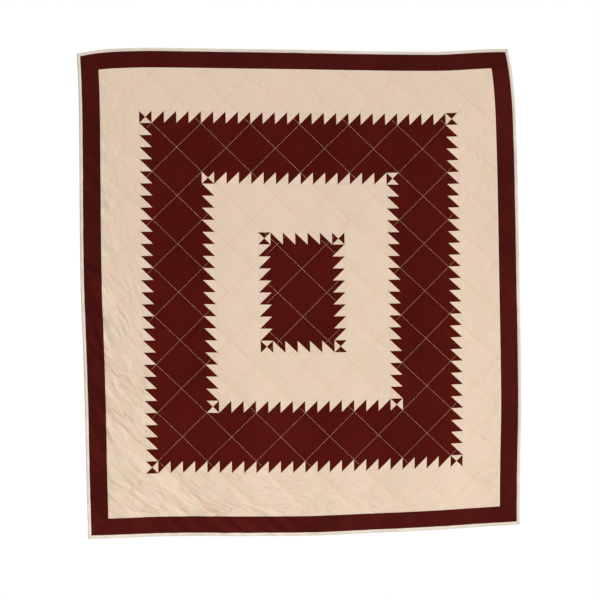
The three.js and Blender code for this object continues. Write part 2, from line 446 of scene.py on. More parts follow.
def fold_place(x, z):
    """Where points lie among the fine folds: how many folds out from the place they swing round,
    then the direction from there as a place on a circle."""
    across = x - SWAG_U * HALF_WIDTH
    up = z - SWAG_V * HALF_HEIGHT
    reach = np.hypot(across, up) + MM
    return np.stack([reach / FOLD_SPACING, FOLD_TURNS * across / reach, FOLD_TURNS * up / reach], -1)


def fold_strength(x, z):
    """How strongly the fine folds show, from 0 to 1."""
    u, v = shares(x, z)
    left = 0.55 * np.exp(-(((u + 0.95) / 0.22) ** 2)) * smoothstep(0.7, -0.4, v)
    top = 0.12 * smoothstep(0.6, 0.8, v)
    sides = 0.3 * smoothstep(QUILTED_X, QUILTED_X + MM, np.abs(x)) * (1 - u / 2)
    ends = 0.3 * smoothstep(QUILTED_Z, QUILTED_Z + MM, np.abs(z)) * (1 - v)
    return np.clip(0.2 + 0.75 * looseness(x, z) + left + top + sides + ends, 0, 1)


def small_wrinkles(x, z, seed):
    """Uneven cloth everywhere, from the washing it has had."""
    broad = noise(x / (34 * MM), z / (30 * MM), seed)
    fine = noise(x / (13 * MM) + 9, z / (12 * MM), seed + 1)
    return (0.24 * broad + 0.13 * fine) * MM


# ---------------------------------------------------------------- the cover's three surfaces

STITCHED_THICKNESS = 1.2 * MM
EDGE_THICKNESS = 1.9 * MM
MOST_PADDING = 3.4 * MM
CALM_PADDING = 0.22
LOOSE_PADDING = 0.62
BACK_PADDING = 0.85
FOLDS_IN_ALL_LAYERS = 0.75
SLACK_ROLL = 1.5 * MM
SLACK_ROLL_WIDTH = 6 * MM
MOST_THICKNESS = 6 * MM
LEAST_FRONT = 1.0 * MM
LEAST_BACK = 0.7 * MM
SLEEVE_CLEARANCE = 3.0 * MM
PRESSED_MARGIN = 20 * MM
FREE_REACH = 12 * MM
PINCH_WIDTH = 14 * MM
ROLLED_EDGE = 4 * MM
FRONT_PUCKER_SEED, FRONT_WRINKLE_SEED = 400, 500
BACK_PUCKER_SEED, BACK_WRINKLE_SEED = 600, 700


# The hanging cover's waves: height in mm, wavelength in metres, slant and phase.
SWINGS = ((0.6, 0.66, 0.10, 0.6), (0.4, 0.39, -0.16, 2.2))
ROUNDED_SEED = 11


def drape():
    """How far the middle surface hangs behind (+) or before (-) its plane, in metres."""
    u, v = shares(GRID_X, GRID_Z)
    low = np.clip((1 - v) / 2, 0, 1)
    held = smoothstep(0.9, 0.55, v)
    turn = 2 * math.pi
    waves = (
        height * np.sin(turn * (GRID_X / length + slant * v) + phase)
        for height, length, slant, phase in SWINGS
    )
    swing = (1.0 + 5.0 * low ** 1.6) * sum(waves)
    rounded = 1.6 * noise(GRID_X / 0.23 + 5, GRID_Z / 0.27, ROUNDED_SEED)
    flare = 1.8 * np.sin(turn * GRID_X / 0.24 + 1.0) * np.exp((-1 - v) / 0.10)
    lean = 2.5 * low + 1.5 * u * low
    return (held * (swing + rounded) + flare + lean) * MM - FOLDS_IN_ALL_LAYERS * FOLDS


def edge_pinch(thickness):
    """Thins the cover to go under its binding."""
    distance = edge_distance(GRID_X, GRID_Z)
    inward = smoothstep(BINDING_WIDTH, BINDING_WIDTH + PINCH_WIDTH, distance)
    rolled = np.sqrt(np.clip(distance / ROLLED_EDGE, 0.05, 1))
    return (EDGE_THICKNESS * (1 - inward) + thickness * inward) * rolled


def looseness(x, z):
    """Where the cover hangs slack, from 0 to 1: at its bottom left, and less along the bottom."""
    u, v = shares(x, z)
    corner = np.exp(-(((u + 0.85) / 0.55) ** 2) - ((v + 0.9) / 0.6) ** 2)
    bottom = 0.55 * np.exp(-(((v + 1.0) / 0.3) ** 2)) * (1 - 0.4 * u)
    return np.clip(corner + bottom, 0, 1)


def puffed(padding, share):
    return MOST_PADDING * np.tanh(np.clip(padding, 0, None) * share / MOST_PADDING)


def front_thickness(padding):
    puff = puffed(padding, CALM_PADDING + LOOSE_PADDING * looseness(GRID_X, GRID_Z))
    relief = ((1 - FOLDS_IN_ALL_LAYERS) * FOLDS + GROOVES) * (0.35 + 0.65 * FREE)
    relief = relief + puckers(GRID_X, GRID_Z, FRONT_PUCKER_SEED)
    relief = relief + small_wrinkles(GRID_X, GRID_Z, FRONT_WRINKLE_SEED) * FREE
    away = np.abs(lattice_offset(GRID_X, GRID_Z, 1))
    roll = SLACK_ROLL * looseness(GRID_X, GRID_Z) * (1 - np.exp(-away / SLACK_ROLL_WIDTH))
    relief = relief + np.where(quilted(GRID_X, GRID_Z), roll, 0)
    thickness = np.clip(STITCHED_THICKNESS + puff + relief, LEAST_FRONT, MOST_THICKNESS)
    return edge_pinch(thickness)


def back_thickness(padding):
    """The back's own relief, pressed flat behind the sleeve."""
    puff = puffed(padding[::-1, ::-1], BACK_PADDING)
    relief = puckers(GRID_X, GRID_Z, BACK_PUCKER_SEED)
    relief = relief + small_wrinkles(GRID_X, GRID_Z, BACK_WRINKLE_SEED) * FREE
    thickness = np.clip(STITCHED_THICKNESS + puff + relief, LEAST_BACK, None)
    below = smoothstep(SLEEVE[0].z - PRESSED_MARGIN, SLEEVE[0].z, GRID_Z + CENTRE.z)
    beside = smoothstep(SLEEVE[1].x + PRESSED_MARGIN, SLEEVE[1].x, np.abs(GRID_X + CENTRE.x))
    pressed = below * beside
    flat = np.minimum(thickness, SLEEVE_CLEARANCE)
    return edge_pinch(flat * pressed + thickness * (1 - pressed))


FREE = smoothstep(0, FREE_REACH, line_distance(GRID_X, GRID_Z))
PADDING = simulated_padding()
FOLDS, GROOVES = creases(GRID_X, GRID_Z)
DRAPE = drape()
FRONT = front_thickness(PADDING)
BACK = back_thickness(PADDING)


def hang(x, z, forward):
    """Where flat points go as the cover hangs, this far in front of its middle surface."""
    sideways, upwards = drift(x, z)
    depth = CENTRE.y + sample(DRAPE, x, z) - forward
    return np.stack([CENTRE.x + x + sideways, depth, CENTRE.z + z + upwards], -1)


# ---------------------------------------------------------------- mesh helpers

MAP_MARGIN = 0.004
MAP_SPAN = 0.992


def new_piece(name, points, triangles, slot, cloth=None):
    """A smooth-shaded piece that rides on the cover's one body."""
    mesh = bpy.data.meshes.new(name)
    mesh.vertices.add(len(points))
    mesh.vertices.foreach_set("co", np.asarray(points, np.float32).ravel())
    mesh.loops.add(3 * len(triangles))
    mesh.loops.foreach_set("vertex_index", np.asarray(triangles, np.int32).ravel())
    mesh.polygons.add(len(triangles))
    starts = np.arange(0, 3 * len(triangles), 3, dtype=np.int32)
    mesh.polygons.foreach_set("loop_start", starts)
    mesh.update(calc_edges=True)
    mesh.validate()
    mesh.shade_smooth()
    mesh.materials.append(cloth_material(cloth or slot))
    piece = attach(link_new(name, mesh), "root")
    return piece


def set_point_data(piece, **fields):
    """Numbers, or places, that the material reads at the piece's points."""
    for name, values in fields.items():
        values = np.asarray(values, np.float32)
        kind, key = ("FLOAT", "value") if values.ndim == 1 else ("FLOAT_VECTOR", "vector")
        piece.data.attributes.new(name, kind, "POINT").data.foreach_set(key, values.ravel())


def set_baking_map(piece, per_corner):
    """The map that the export bakes this piece's materials to."""
    layer = piece.data.uv_layers.new(name="OFBake")
    layer.uv.foreach_set("vector", np.asarray(per_corner, np.float32).ravel())


def spread(values):
    """Values scaled to run from just above 0 to just below 1."""
    low, high = values.min(), values.max()
    return MAP_MARGIN + MAP_SPAN * (values - low) / max(high - low, 1e-9)


def quads_to_triangles(a, b, c, d):
    return np.concatenate([np.stack([a, b, c], -1), np.stack([a, c, d], -1)])


def two_sided(count, front_faces, loops):
    """Triangles of a thin closed shell over this many flat points, and which side each one shows.

    The back's points follow the front's. Each loop lists a rim's points counter-clockwise."""
    back_faces = front_faces[:, ::-1] + count
    rims = []
    for loop in loops:
        after = np.roll(loop, -1)
        rims.append(quads_to_triangles(loop, loop + count, after + count, after))
    faces = np.concatenate([front_faces, back_faces] + rims)
    side = np.zeros(len(faces))
    side[len(front_faces):2 * len(front_faces)] = 1
    return faces, side


def shell_map(flat, faces, side):
    """Front and back laid side by side, across the piece's shorter way."""
    u = spread(flat[:, 0])
    v = spread(flat[:, 1])
    corner = faces % len(flat)
    half = np.repeat(side[:, None], 3, 1)
    if np.ptp(flat[:, 0]) >= np.ptp(flat[:, 1]):
        return np.stack([u[corner], (v[corner] + half) / 2], -1)
    return np.stack([(u[corner] + half) / 2, v[corner]], -1)


def new_shell(name, cut, front, back, slot, cloth=None):
    """A thin closed piece over a cut: its flat points, its front's triangles and its outlines."""
    flat, faces, loops = cut
    triangles, side = two_sided(len(flat), faces, loops)
    piece = new_piece(name, np.concatenate([front, back]), triangles, slot, cloth)
    set_baking_map(piece, shell_map(flat, triangles, side))
    return piece


# ---------------------------------------------------------------- patches of the pieced top

CLOTH = 0.4 * MM
DITCH_DEPTH = 0.22 * MM
DITCH_WIDTH = 2.6 * MM
ALLOWANCE_HEIGHT = 0.34 * MM
ALLOWANCE_START = 0.5 * MM
ALLOWANCE_TOP = 5.4 * MM
ALLOWANCE_END = 8.9 * MM
FULL_SEAM_HEIGHT = 2 * MM
QUIET_SEAM = 0.2
SOIL_REACH = 4 * MM
RAISED_FULL = 4 * MM
RANDOM_TONES = np.random.default_rng(21)


def seam_relief(height, distance, strength=1):
    """Relief beside a seam: a ditch at the seam, then the ridge of the turned allowance. It is
    lower where the cover is thin."""
    ditch = DITCH_DEPTH * (1 - smoothstep(0, DITCH_WIDTH, distance))
    ridge = smoothstep(ALLOWANCE_START, DITCH_WIDTH, distance)
    ridge = ridge * (1 - smoothstep(ALLOWANCE_TOP, ALLOWANCE_END, distance))
    padded = np.clip(height / FULL_SEAM_HEIGHT, 0.4, 1)
    return (ALLOWANCE_HEIGHT * ridge - ditch) * strength * padded


SEAM_ROWS = np.array([0, 0.9, 2.2]) * MM
SEAM_ROOM = 3.6 * MM


def axis_rows(low, high, step):
    """Rows of points across a patch: close together beside its seams, then in step with the
    teeth, so that the diagonal lines pass through the points."""
    first = math.ceil((low + SEAM_ROOM) / step)
    last = math.floor((high - SEAM_ROOM) / step)
    inner = np.arange(first, last + 1) * step
    extra = [inner[0] + step / 2, inner[-1] - step / 2]
    return np.sort(np.concatenate([low + SEAM_ROWS, inner, extra, high - SEAM_ROWS]))


def split_faces(xs, zs):
    """Two triangles to each cell of a grid, split along the nearer family of quilting lines."""
    cell_x, cell_z = np.meshgrid((xs[:-1] + xs[1:]) / 2, (zs[:-1] + zs[1:]) / 2)
    falling = np.abs(lattice_offset(cell_x, cell_z, 1)) < np.abs(lattice_offset(cell_x, cell_z, -1))
    down = falling.ravel()[:, None]
    a, b, c, d = sheet_faces(len(xs), len(zs)).T
    first = np.where(down, np.stack([a, b, d], -1), np.stack([a, b, c], -1))
    second = np.where(down, np.stack([b, c, d], -1), np.stack([a, c, d], -1))
    return np.concatenate([first, second])


def grid_rim(columns, rows):
    """The outline of a grid of points, counter-clockwise as seen from the front."""
    bottom = np.arange(columns)
    right = np.arange(1, rows) * columns + columns - 1
    top = (rows - 1) * columns + np.arange(columns - 2, -1, -1)
    left = np.arange(rows - 2, 0, -1) * columns
    return np.concatenate([bottom, right, top, left])


def grid_cut(rect, per_tooth):
    """A rectangle's flat points in a grid, its front's triangles and its outline."""
    xs = axis_rows(rect.left, rect.right, TOOTH_WIDTH / per_tooth)
    zs = axis_rows(rect.bottom, rect.top, TOOTH_HEIGHT / per_tooth)
    flat = np.stack(np.meshgrid(xs, zs), -1).reshape(-1, 2)
    return flat, split_faces(xs, zs), [grid_rim(len(xs), len(zs))]


def add_patch(name, node, color, cut, seam, tone):
    """A patch of cloth as a thin shell on the front of the cover. The seam is each point's
    distance to the nearest one, and how plainly that one shows."""
    x, z = cut[0].T
    height = sample(FRONT, x, z)
    raised = height + seam_relief(height, *seam)
    slot = f"{color}_cotton"
    cloth = f"faded_{slot}" if node.startswith("outer_maroon_border") else slot
    piece = new_shell(name, cut, hang(x, z, raised), hang(x, z, raised - CLOTH), slot, cloth)
    soiled = np.where(quilted(x, z), np.exp(-line_distance(x, z) / SOIL_REACH), 0)
    set_point_data(
        piece,
        tone=np.tile(tone, 2),
        raised=np.tile(np.clip(raised / RAISED_FULL, 0, 1), 2),
        soiled=np.tile(soiled, 2),
        folded=np.tile(fold_strength(x, z), 2),
        fold_place=np.tile(fold_place(x, z), (2, 1)),
    )
    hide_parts(node)
    return piece


ROWS_PER_TOOTH = 10
BORDER_TONE = 0.2
# How much lighter or darker than the rest these strips are: partly fading, partly painted light,
# darker top and left and lighter bottom and right.
FADING_AND_PAINTED_LIGHT = {
    "outer_maroon_border_top": -1.5,
    "outer_maroon_border_left": -1.0,
    "outer_maroon_border_bottom": 2.5,
    "outer_maroon_border_right": 4.0,
}


def border_seam(node, x, z):
    """Distance to the seams round a panel or border, and how plainly they show. Seams between
    patches of one colour hardly do, and the joins of a border's own strips don't count."""
    if node == "centre_panel":
        panel = flat_rect(node)
        return np.minimum(panel.right - np.abs(x), panel.top - np.abs(z)), QUIET_SEAM
    border = node.rsplit("_", 1)[0]
    outer = flat_rect(f"{border}_top")
    inner_x = flat_rect(f"{border}_right").left
    outward = np.maximum(np.abs(x) - inner_x, np.abs(z) - outer.bottom)
    inward = np.minimum(outer.right - np.abs(x), outer.top - np.abs(z))
    distance = np.clip(np.minimum(outward, inward), 0, None)
    if border == "outer_maroon_border":
        return distance, 1
    if border == "outer_cream_border":
        return distance, np.where(outward < inward, QUIET_SEAM, 1)
    return distance, QUIET_SEAM


def add_rectangle(node, color):
    rect = flat_rect(node)
    cut = grid_cut(rect, ROWS_PER_TOOTH)
    # The strip's random tone, plus its fading and painted light from the table above.
    strip_tone_and_light = RANDOM_TONES.uniform(-BORDER_TONE, BORDER_TONE) + FADING_AND_PAINTED_LIGHT.get(node, 0)
    tone = np.full(len(cut[0]), strip_tone_and_light)
    piece = add_patch(f"{node}_cloth", node, color, cut, border_seam(node, *cut[0].T), tone)


TRIANGLE_STEPS = 10
TRIANGLE_ROWS = (0, 0.9, 2.2, 3.8, 5.6, 7.6, 10.4)


def triangle_points(corners):
    """Points of one triangle, in rings that shrink onto the middle of its inscribed circle."""
    a, b, c = (np.array(corner, float) for corner in corners)
    sides = np.array([np.hypot(*(c - b)), np.hypot(*(a - c)), np.hypot(*(b - a))])
    middle = (sides[0] * a + sides[1] * b + sides[2] * c) / sides.sum()
    double_area = abs((b[0] - a[0]) * (c[1] - a[1]) - (b[1] - a[1]) * (c[0] - a[0]))
    radius = double_area / sides.sum()
    share = np.arange(TRIANGLE_STEPS)[:, None] / TRIANGLE_STEPS
    outline = np.concatenate([a + (b - a) * share, b + (c - b) * share, c + (a - c) * share])
    offsets = np.array(TRIANGLE_ROWS) * MM
    rings = [middle + (outline - middle) * (1 - offset / radius) for offset in offsets]
    points = np.concatenate(rings + [middle[None]])
    distance = np.append(np.repeat(offsets, len(outline)), radius)
    return points, distance


def triangle_faces():
    ring = 3 * TRIANGLE_STEPS
    around = np.arange(ring)
    after = (around + 1) % ring
    bands = []
    for level in range(len(TRIANGLE_ROWS) - 1):
        outer, inner = level * ring, (level + 1) * ring
        bands.append(quads_to_triangles(outer + around, outer + after, inner + after, inner + around))
    last = (len(TRIANGLE_ROWS) - 1) * ring
    middle = np.full(ring, last + ring)
    bands.append(np.stack([last + around, last + after, middle], -1))
    return np.concatenate(bands)


def counter_clockwise(corners):
    (ax, az), (bx, bz), (cx, cz) = corners
    turn = (bx - ax) * (cz - az) - (bz - az) * (cx - ax)
    return corners if turn > 0 else corners[::-1]


def distance_to_line(points, start, end):
    along = np.subtract(end, start)
    offset = points - start
    return np.abs(offset[:, 0] * along[1] - offset[:, 1] * along[0]) / np.hypot(*along)


def add_triangles(name, node, color, triangles):
    """All the triangles of one colour along a side, or in a corner block, each a patch apart.

    Each one's first two corners lie on the ring's outline, where the seam hardly shows."""
    template = triangle_faces()
    parts, loops = [], []
    start = 0
    for corners in triangles:
        points, distance = triangle_points(counter_clockwise(corners))
        from_outline = distance_to_line(points, *corners[:2])
        beside = smoothstep(1.0, 2.0, from_outline / np.maximum(distance, MM))
        strength = QUIET_SEAM + (1 - QUIET_SEAM) * beside
        tone = np.full(len(points), RANDOM_TONES.uniform(-1, 1))
        parts.append((points, template + start, distance, strength, tone))
        loops.append(start + np.arange(3 * TRIANGLE_STEPS))
        start += len(points)
    flat, faces, distance, strength, tone = map(np.concatenate, zip(*parts))
    piece = add_patch(name, node, color, (flat, faces, loops), (distance, strength), tone)


def side_places(inside):
    """For each side, its length, its tooth's pitch and depth, and where a point (s, t) lies:
    s runs along the side, a quarter turn on from the last side, and t outwards."""
    wide = inside.right - inside.left
    tall = inside.top - inside.bottom
    level = (wide, TOOTH_WIDTH, TOOTH_HEIGHT)
    upright = (tall, TOOTH_HEIGHT, TOOTH_WIDTH)
    return {
        "top": level + (lambda s, t: (inside.left + s, inside.top + t),),
        "left": upright + (lambda s, t: (inside.left - t, inside.bottom + s),),
        "bottom": level + (lambda s, t: (inside.right - s, inside.bottom - t),),
        "right": upright + (lambda s, t: (inside.right + t, inside.top - s),),
    }


def add_teeth(ring, side):
    length, pitch, depth, place = side_places(ring.inside)[side]
    count = round(length / pitch)
    inner, outer = [], []
    for tooth in range(count):
        start, end = tooth * pitch, (tooth + 1) * pitch
        if ring.mirrored:
            start, end = length - start, length - end
        inner.append([place(start, 0), place(end, 0), place(end, depth)])
        outer.append([place(end, depth), place(start, depth), place(start, 0)])
    for triangles, color in ((inner, ring.inner_color), (outer, ring.outer_color)):
        node = f"{ring.name}_{side}_{color}_teeth"
        add_triangles(f"{node}_cloth", node, color, triangles)


def add_corner_block(ring, corner):
    """Four triangles that meet in the middle. Opposite ones have the same colour."""
    node = f"{ring.name}_corner_{corner}"
    rect = flat_rect(node)
    middle = ((rect.left + rect.right) / 2, (rect.bottom + rect.top) / 2)
    low_left, low_right = (rect.left, rect.bottom), (rect.right, rect.bottom)
    high_left, high_right = (rect.left, rect.top), (rect.right, rect.top)
    sides = [[high_left, low_left, middle], [low_right, high_right, middle]]
    ends = [[low_left, low_right, middle], [high_right, high_left, middle]]
    on_main_diagonal = corner in ("top_left", "bottom_right")
    inner_on_sides = on_main_diagonal != ring.mirrored
    inner, outer = (sides, ends) if inner_on_sides else (ends, sides)
    for triangles, color in ((inner, ring.inner_color), (outer, ring.outer_color)):
        add_triangles(f"{node}_{color}_patches", node, color, triangles)


# ---------------------------------------------------------------- batting and backing

BACKING_PER_TOOTH = 8
BATTING_PER_TOOTH = 6
BATTING_SHARE = 0.34
BATTING_ROOM = 0.4 * MM
LEAST_BATTING = 0.1 * MM
BATTING_CLEARANCE = 0.4 * MM
MOST_SINK = 0.6 * MM
# Steps from a point of the batting's grid to the points beside it.
NEIGHBOURS = ((1, 0), (-1, 0), (0, 1), (0, -1), (1, 1), (-1, -1), (1, -1), (-1, 1))


def batting_share(thickness, x, z):
    """How far the batting reaches from the middle surface, of this side's thickness."""
    return np.maximum(BATTING_SHARE * sample(thickness, x, z) - BATTING_ROOM, LEAST_BATTING)


def batting_sink(x, z):
    """How far the batting drops so that it stays behind the cloth between its own points."""
    own = batting_share(FRONT, x, z) - sample(DRAPE, x, z)
    sink = np.zeros(len(x))
    for across, up in NEIGHBOURS:
        dx = across * TOOTH_WIDTH / BATTING_PER_TOOTH
        dz = up * TOOTH_HEIGHT / BATTING_PER_TOOTH
        next_one = batting_share(FRONT, x + dx, z + dz) - sample(DRAPE, x + dx, z + dz)
        half_x, half_z = x + dx / 2, z + dz / 2
        cloth = sample(FRONT, half_x, half_z) - sample(DRAPE, half_x, half_z)
        sink = np.maximum(sink, (own + next_one) / 2 - cloth + BATTING_CLEARANCE)
    return np.minimum(sink, MOST_SINK)


def add_batting():
    cut = grid_cut(flat_rect("batting"), BATTING_PER_TOOTH)
    x, z = cut[0].T
    sink = batting_sink(x, z)
    front = hang(x, z, batting_share(FRONT, x, z) - sink)
    back = hang(x, z, -batting_share(BACK, x, z) - sink)
    piece = new_shell("batting_pad", cut, front, back, "cotton_batting")
    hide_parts("batting")


def add_backing_length(name, rect):
    """One of the two lengths that the backing is sewn from, with a seam at the middle."""
    cut = grid_cut(rect, BACKING_PER_TOOTH)
    x, z = cut[0].T
    height = sample(BACK, x, z)
    relief = seam_relief(height, np.abs(x))
    inside = hang(x, z, CLOTH - height - relief)
    outside = hang(x, z, -height - relief)
    piece = new_shell(name, cut, inside, outside, "muslin_backing")
    tone = np.full(2 * len(x), RANDOM_TONES.uniform(-1, 1))
    raised = np.tile(np.clip(height / RAISED_FULL, 0, 1), 2)
    set_point_data(piece, tone=tone, raised=raised)
    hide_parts("backing")


def add_backing():
    rect = flat_rect("backing")
    add_backing_length("backing_left_length", rect._replace(right=0))
    add_backing_length("backing_right_length", rect._replace(left=0))


# ---------------------------------------------------------------- binding

# The folded strip's section: distance in from the outer edge and height in front of the middle
# surface, in mm, from the front's inner edge to the outer edge. The back is the same turned over.
BINDING_OUTSIDE = (
    (13.1, 1.9), (13.5, 2.1), (13.1, 2.35), (11.8, 2.55), (9.6, 2.85),
    (7.2, 3.1), (4.8, 3.15), (2.8, 2.85), (1.3, 2.15), (0.3, 1.1),
)
BINDING_INSIDE = (
    (12.9, 1.95), (12.6, 1.95), (12.2, 1.95), (11.4, 1.95), (9.6, 1.95),
    (7.2, 1.95), (5.0, 1.95), (3.2, 1.75), (2.0, 1.2), (1.5, 0.6),
)
BINDING_STEP = 4 * MM
MITRE_REACH = 30 * MM
BINDING_SEEDS = {"top": 40, "left": 50, "bottom": 60, "right": 70}
MITRE_GAP = 0.1 * MM
BINDING_WANDER = 0.35 * MM


def binding_section():
    """The section as a closed line: inward distances and heights in front of the middle."""
    outside = list(BINDING_OUTSIDE) + [(0, 0)]
    outside += [(inward, -height) for inward, height in reversed(BINDING_OUTSIDE)]
    inside = [(inward, -height) for inward, height in BINDING_INSIDE] + [(1.3, 0)]
    inside += list(reversed(BINDING_INSIDE))
    section = np.array(outside + inside) * MM
    return section[:, 0], section[:, 1], len(outside)


def tube_faces(stations, ring):
    """Triangles of a closed section swept through stations, without its ends."""
    station, around = np.meshgrid(np.arange(stations - 1), np.arange(ring), indexing="ij")
    here = (station * ring + around).ravel()
    beside = (station * ring + (around + 1) % ring).ravel()
    return quads_to_triangles(here, beside, beside + ring, here + ring)


def section_cap(start, ring, outside):
    """Triangles across a C-shaped section's end, from its outer line to its inner one."""
    outer = start + np.arange(outside)
    inner = start + ring - 1 - np.arange(outside)
    return quads_to_triangles(outer[:-1], outer[1:], inner[1:], inner[:-1])


def tube_map(stations, ring, triangles):
    """Along the tube one way and round it the other."""
    station = triangles // ring
    around = triangles % ring
    wraps = (around.max(1) - around.min(1)) > ring / 2
    around = np.where(wraps[:, None] & (around == 0), ring, around)
    places = np.stack([station / (stations - 1), around / ring], -1)
    return MAP_MARGIN + MAP_SPAN * places


def half_length(side):
    return HALF_WIDTH if side in ("top", "bottom") else HALF_HEIGHT


def binding_place(side, along, inward):
    """The flat point this far along a side from its middle, and this far in from the edge."""
    if side == "top":
        return along, HALF_HEIGHT - inward
    if side == "bottom":
        return -along, inward - HALF_HEIGHT
    if side == "left":
        return inward - HALF_WIDTH, along
    return HALF_WIDTH - inward, -along


def mitred(along, inward, half):
    """Draws a strip's last stretch in to the corner's diagonal."""
    start = half - MITRE_REACH
    beyond = np.clip((np.abs(along) - start) / MITRE_REACH, 0, 1)
    drawn = start + beyond * (half - inward - MITRE_GAP - start)
    return np.where(np.abs(along) > start, np.sign(along) * drawn, along)


def add_binding(side):
    half = half_length(side)
    seed = BINDING_SEEDS[side]
    inward, height, outside = binding_section()
    stations = int(2 * half / BINDING_STEP)
    ring = len(inward)
    along = np.repeat(np.linspace(-half, half, stations), ring)
    deep = np.tile(inward, stations)
    rise = np.tile(height, stations)
    near = np.clip(deep / BINDING_WIDTH, 0, 1)
    wander = noise(along / (42 * MM) + 3, along * 0, seed)
    wander = wander + 0.5 * noise(along / (11 * MM), along * 0, seed)
    deep = deep + BINDING_WANDER * wander * near
    plump = 1 + 0.07 * noise(along / (13 * MM), deep / (9 * MM), seed + 1)
    plump = plump + 0.05 * noise(along / (60 * MM), deep * 0, seed + 2)
    x, z = binding_place(side, mitred(along, deep, half), deep)
    first, last = (section_cap(start, ring, outside) for start in (0, (stations - 1) * ring))
    triangles = np.concatenate([tube_faces(stations, ring), first, last[:, ::-1]])[:, ::-1]
    piece = new_piece(f"binding_{side}_fold", hang(x, z, rise * plump), triangles, "ecru_binding")
    set_point_data(piece, tone=np.full(len(x), RANDOM_TONES.uniform(-1, 1)))
    set_baking_map(piece, tube_map(stations, ring, triangles))
    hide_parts(f"binding_{side}")


# ---------------------------------------------------------------- hanging sleeve

SLEEVE_CLOTH = 1.0 * MM
SLEEVE_STEP = 8 * MM
SLEEVE_ROUND = 8
SLEEVE_FLAT = 6
SLEEVE_HEM = 16 * MM
HEM_ROWS = np.array([0, 1, 6, 12, 14.5]) * MM
SLEEVE_TONE = 0.35
SLEEVE_RAISED = 0.7
SLEEVE_SAG = 1.5 * MM
HEM_EDGE = 1.5 * MM
HEM_THICKNESS = 0.5 * MM
SLEEVE_SEEDS = (801, 802, 803)


def sleeve_section(inset):
    """The tube's section as depths and heights: flat front and back, round top and bottom."""
    low, high = SLEEVE
    radius = (high.y - low.y) / 2 - inset
    middle_y = (low.y + high.y) / 2
    top = high.z - inset - radius
    bottom = low.z + inset + radius
    turn = np.linspace(0, math.pi, SLEEVE_ROUND + 1)
    share = np.linspace(0, 1, SLEEVE_FLAT + 2)[1:-1]
    front = np.stack([share * 0 + (middle_y - radius), bottom + share * (top - bottom)], -1)
    over = np.stack([middle_y - radius * np.cos(turn), top + radius * np.sin(turn)], -1)
    back = np.stack([share * 0 + (middle_y + radius), top - share * (top - bottom)], -1)
    under = np.stack([middle_y + radius * np.cos(turn), bottom - radius * np.sin(turn)], -1)
    return np.concatenate([front, over, back, under])


def sleeve_points(section, xs):
    """The section swept along the sleeve, with its back hanging in shallow folds."""
    low, high = SLEEVE
    x = np.repeat(xs, len(section))
    y, z = (np.tile(values, len(xs)) for values in section.T)
    behind = np.clip((y - low.y) / (high.y - low.y), 0, 1)
    hung = np.clip((high.z - z) / (high.z - low.z), 0, 1)
    belly = np.sin(math.pi * hung)
    wide, narrow, level = SLEEVE_SEEDS
    fold = noise(x / (70 * MM), hung * 0.7, wide) + 0.5 * noise(x / (24 * MM), hung * 1.5, narrow)
    y = y + behind * belly * (1.5 + 2.4 * fold) * MM
    z = z - behind * hung * SLEEVE_SAG * (1 + noise(x / (90 * MM), x * 0, level))
    end = np.minimum(x - xs[0], xs[-1] - x)
    hem = smoothstep(SLEEVE_HEM, SLEEVE_HEM - HEM_EDGE, end)
    y = y + behind * hem * HEM_THICKNESS
    sideways, upwards = drift(x - CENTRE.x, z - CENTRE.z)
    return np.stack([x + sideways, y, z + upwards], -1)


def add_sleeve():
    low, high = SLEEVE
    steps = int((high.x - low.x) / SLEEVE_STEP)
    between_hems = np.linspace(low.x + SLEEVE_HEM, high.x - SLEEVE_HEM, steps)
    xs = np.concatenate([low.x + HEM_ROWS, between_hems, high.x - HEM_ROWS[::-1]])
    sections = (sleeve_section(inset) for inset in (0, SLEEVE_CLOTH))
    outer, inner = (sleeve_points(section, xs) for section in sections)
    count = len(outer)
    ring = count // len(xs)
    wall = tube_faces(len(xs), ring)
    around = np.arange(ring)
    after = (around + 1) % ring
    last = count - ring
    near_end = quads_to_triangles(around, around + count, after + count, after)
    far_end = quads_to_triangles(around, after, after + count, around + count) + last
    triangles = np.concatenate([wall, wall[:, ::-1] + count, near_end, far_end])[:, ::-1]
    points = np.concatenate([outer, inner])
    piece = new_piece("hanging_sleeve_cloth", points, triangles, "muslin_backing")
    tone, raised = (np.full(2 * count, value) for value in (SLEEVE_TONE, SLEEVE_RAISED))
    set_point_data(piece, tone=tone, raised=raised)
    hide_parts("hanging_sleeve")


# ---------------------------------------------------------------- stitches

STITCH_PITCH = 5.1 * MM
STITCH_LENGTH = 4.3 * MM
STITCH_WIDTH = 1.25 * MM
STITCH_RISE = 0.24 * MM
STITCH_SIDES = 5
# Along a stitch from end to end: place, width and height, as shares. The ends dip into the cloth.
STITCH_RINGS = ((-0.72, 0.72, 0.55), (0, 1, 1), (0.72, 0.72, 0.55))
STITCH_TIPS = np.array([[-1, 0, -0.35], [1, 0, -0.35]])
STITCH_WANDER = 0.12 * MM
LINE_WOBBLE = 0.35 * MM
LINE_SEED = 900
STITCH_LIFT = 0.05 * MM
QUILTING_MARGIN = 2 * MM
THREAD = "quilting_thread"


